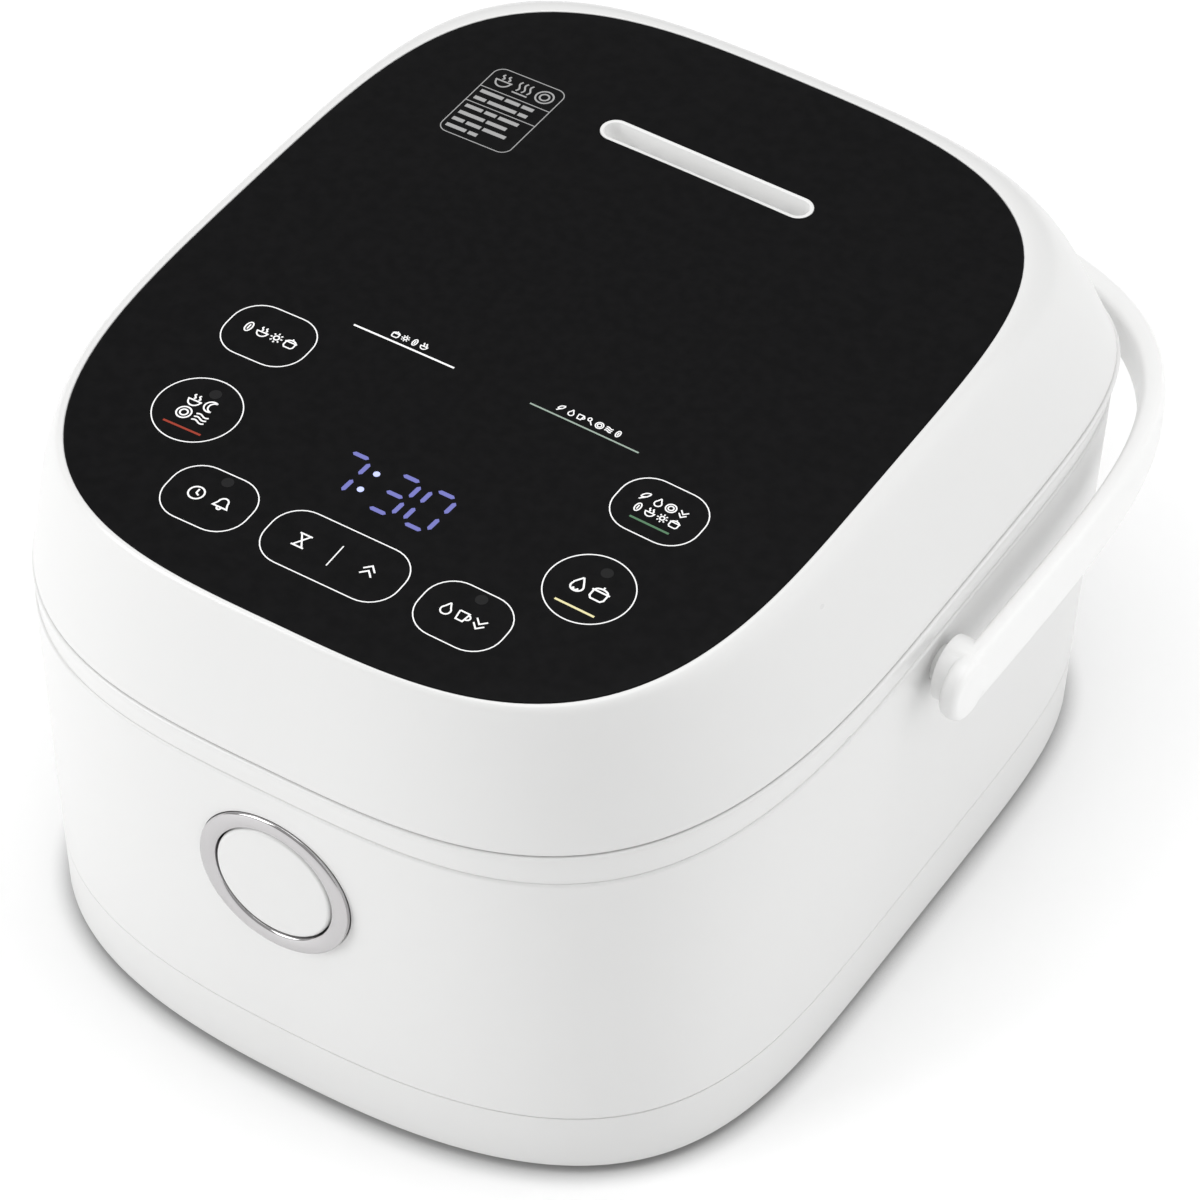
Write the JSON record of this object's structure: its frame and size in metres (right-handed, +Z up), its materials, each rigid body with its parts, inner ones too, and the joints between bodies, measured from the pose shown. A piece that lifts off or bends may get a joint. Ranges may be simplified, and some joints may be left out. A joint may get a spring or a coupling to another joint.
{
  "type": "rice cooker",
  "caption": "Rounded white rice cooker with a black touch-key lid panel, steam slot, front open button, bail handle and lift-out pot.",
  "frame": {"origin": "on the floor, under the middle of the object's outer box with the handle folded back", "axes": "+Z up, +Y to the rear where the handle lies, +X to the right seen from the front"},
  "size_m": [0.2848, 0.3425, 0.2004],
  "materials": {
    "white_shell": "satin-gloss moulded white",
    "white_button": "satin-gloss moulded white",
    "white_cap": "satin white",
    "base_plastic": "fine moulded texture",
    "lid_plastic": "fine moulded texture",
    "black_panel": "very fine satin grain",
    "display": "dark display filter",
    "chrome_trim": "polished",
    "dark_plastic": "fine moulded texture",
    "frame_plastic": "glass-filled plastic",
    "grey_plastic": "moulded",
    "foot_rubber": "matt",
    "seal_rubber": "silicone, matt",
    "pad_rubber": "conductive rubber",
    "steel": "bright zinc",
    "pot_coating": "dark non-stick coating, fine speckle",
    "bare_aluminium": "satin",
    "coil_copper": "enamelled copper strand",
    "ferrite": "sintered",
    "board_green": "solder mask",
    "pin_metal": "plated"
  },
  "bodies": {
    "base": {"base_cover": "base_plastic", "feet": "foot_rubber", "base_screws": "steel", "outer_body": "white_shell", "body_rim": "white_shell", "pot_well": "dark_plastic", "side_heater": "bare_aluminium", "induction_coil": "coil_copper", "coil_carrier": "frame_plastic", "ferrite_bars": "ferrite", "inner_pot": "pot_coating", "sensor_housing": "frame_plastic", "sensor_spring": "steel", "power_board": "board_green", "power_components": "dark_plastic", "heat_sink": "bare_aluminium", "fan_frame": "dark_plastic", "power_inlet": "dark_plastic", "inlet_pins": "pin_metal", "button_ring": "chrome_trim", "button_spring": "steel", "latch_bracket": "grey_plastic", "latch_pin": "steel", "latch_spring": "steel", "hinge_bracket": "steel", "hinge_pin": "steel", "hinge_springs": "steel", "handle_bosses": "white_shell"},
    "lid": {"lid_cover": "white_shell", "top_panel": "black_panel", "steam_cap": "white_cap", "steam_duct": "lid_plastic", "steam_seal": "seal_rubber", "lid_base": "lid_plastic", "lid_heater": "bare_aluminium", "lid_sensor": "steel", "inner_lid": "bare_aluminium", "inner_lid_gasket": "seal_rubber", "inner_lid_clips": "grey_plastic", "control_board": "board_green", "display_module": "display", "touch_pads": "pad_rubber", "lid_catch": "steel", "lid_screws": "steel"},
    "handle": {"handle": "white_shell", "handle_pins": "steel", "handle_clips": "steel"},
    "button": {"open_button": "white_button"},
    "latch": {"latch_lever": "grey_plastic"},
    "sensor": {"center_sensor": "steel"},
    "fan": {"fan_rotor": "dark_plastic"}
  },
  "joints": [
    {"name": "lid_hinge", "type": "hinge", "parent": "base", "child": "lid", "pos_m": [0, 0.138, 0.1494], "axis": [-1, 0, 0], "range_deg": [0, 85]},
    {"name": "handle_pivot", "type": "hinge", "parent": "base", "child": "handle", "pos_m": [0, -0.0086, 0.12], "axis": [1, 0, 0], "range_deg": [0, 90]},
    {"name": "open_button_press", "type": "slide", "parent": "base", "child": "button", "axis": [0, 1, 0], "range_m": [0, 0.003], "stiffness_N_per_m": 350, "springref_m": -0.003, "deforming": ["button_spring"]},
    {"name": "latch_turn", "type": "hinge", "parent": "base", "child": "latch", "pos_m": [0, -0.1456, 0.12], "axis": [1, 0, 0], "range_deg": [0, 8], "deforming": ["latch_spring"]},
    {"name": "sensor_press", "type": "slide", "parent": "base", "child": "sensor", "axis": [0, 0, -1], "range_m": [0, 0.003], "stiffness_N_per_m": 250, "springref_m": -0.003, "deforming": ["sensor_spring"]},
    {"name": "fan_spin", "type": "hinge", "parent": "base", "child": "fan", "pos_m": [0.044, 0.0814, 0.015], "axis": [0, 0, 1], "continuous": true}
  ],
  "couplings": [
    {"joint": "latch_turn", "follows": "open_button_press", "rad_per_m": 46.5}
  ]
}
